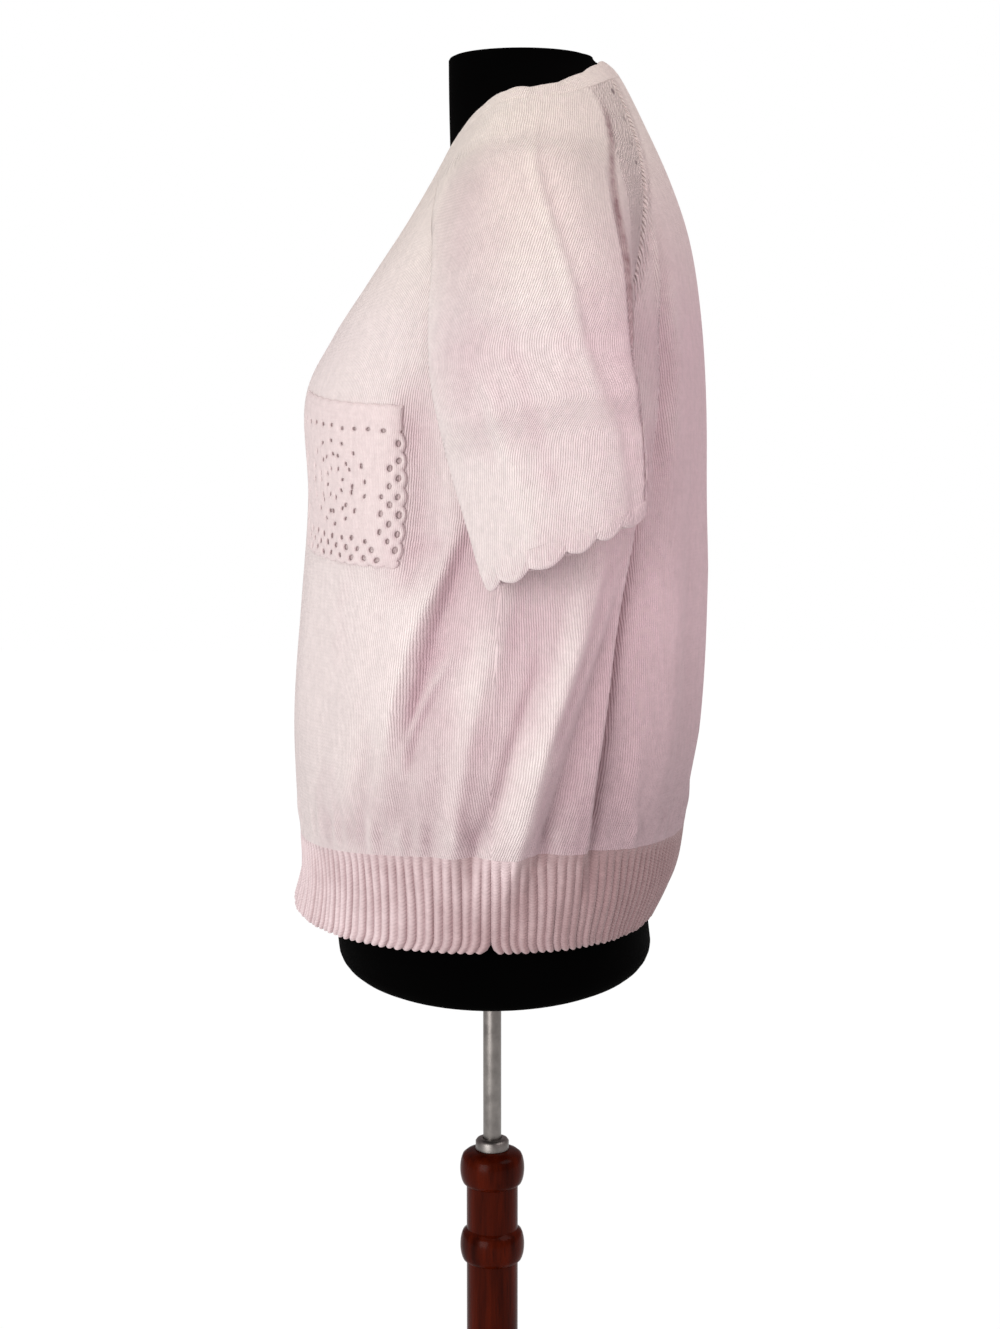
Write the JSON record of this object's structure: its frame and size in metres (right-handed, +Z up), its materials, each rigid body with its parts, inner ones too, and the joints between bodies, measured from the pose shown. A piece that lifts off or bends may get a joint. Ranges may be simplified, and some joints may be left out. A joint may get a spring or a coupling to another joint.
{
  "type": "short-sleeve crochet-trimmed sweater on a dress form",
  "caption": "Short-sleeve fine knit pullover with ribbed bottom band and crochet pocket, neck and cuff edgings, worn by a black limbless dress form on a turned wooden stand.",
  "frame": {"origin": "on the floor under the centre of the round base, on the axis of the stand", "axes": "+Z up along the stand, -Y to the front of the sweater, +X to the wearer's left"},
  "size_m": [0.464, 0.34, 1.397],
  "materials": {
    "knit": "fine stocking-stitch knit in pale pink cotton, matt with a faint sheen",
    "rib": "knitted rib in the same pale pink yarn",
    "crochet": "crochet in mercerised pale pink cotton thread, slightly glossier than the knit",
    "jersey": "taut matt black jersey cover",
    "wood": "dark red-brown stained hardwood under gloss varnish",
    "metal": "dull grey steel"
  },
  "bodies": {
    "root": {"front": "knit", "back": "knit", "sleeve_left": "knit", "sleeve_right": "knit", "front_welt": "rib", "back_welt": "rib", "neck_edging": "crochet", "cuff_edging_left": "crochet", "cuff_edging_right": "crochet", "chest_pocket": "crochet", "dress_form": "jersey", "form_socket": "metal", "rod": "metal", "rod_nut": "metal", "post": "wood", "base": "wood"}
  },
  "joints": []
}
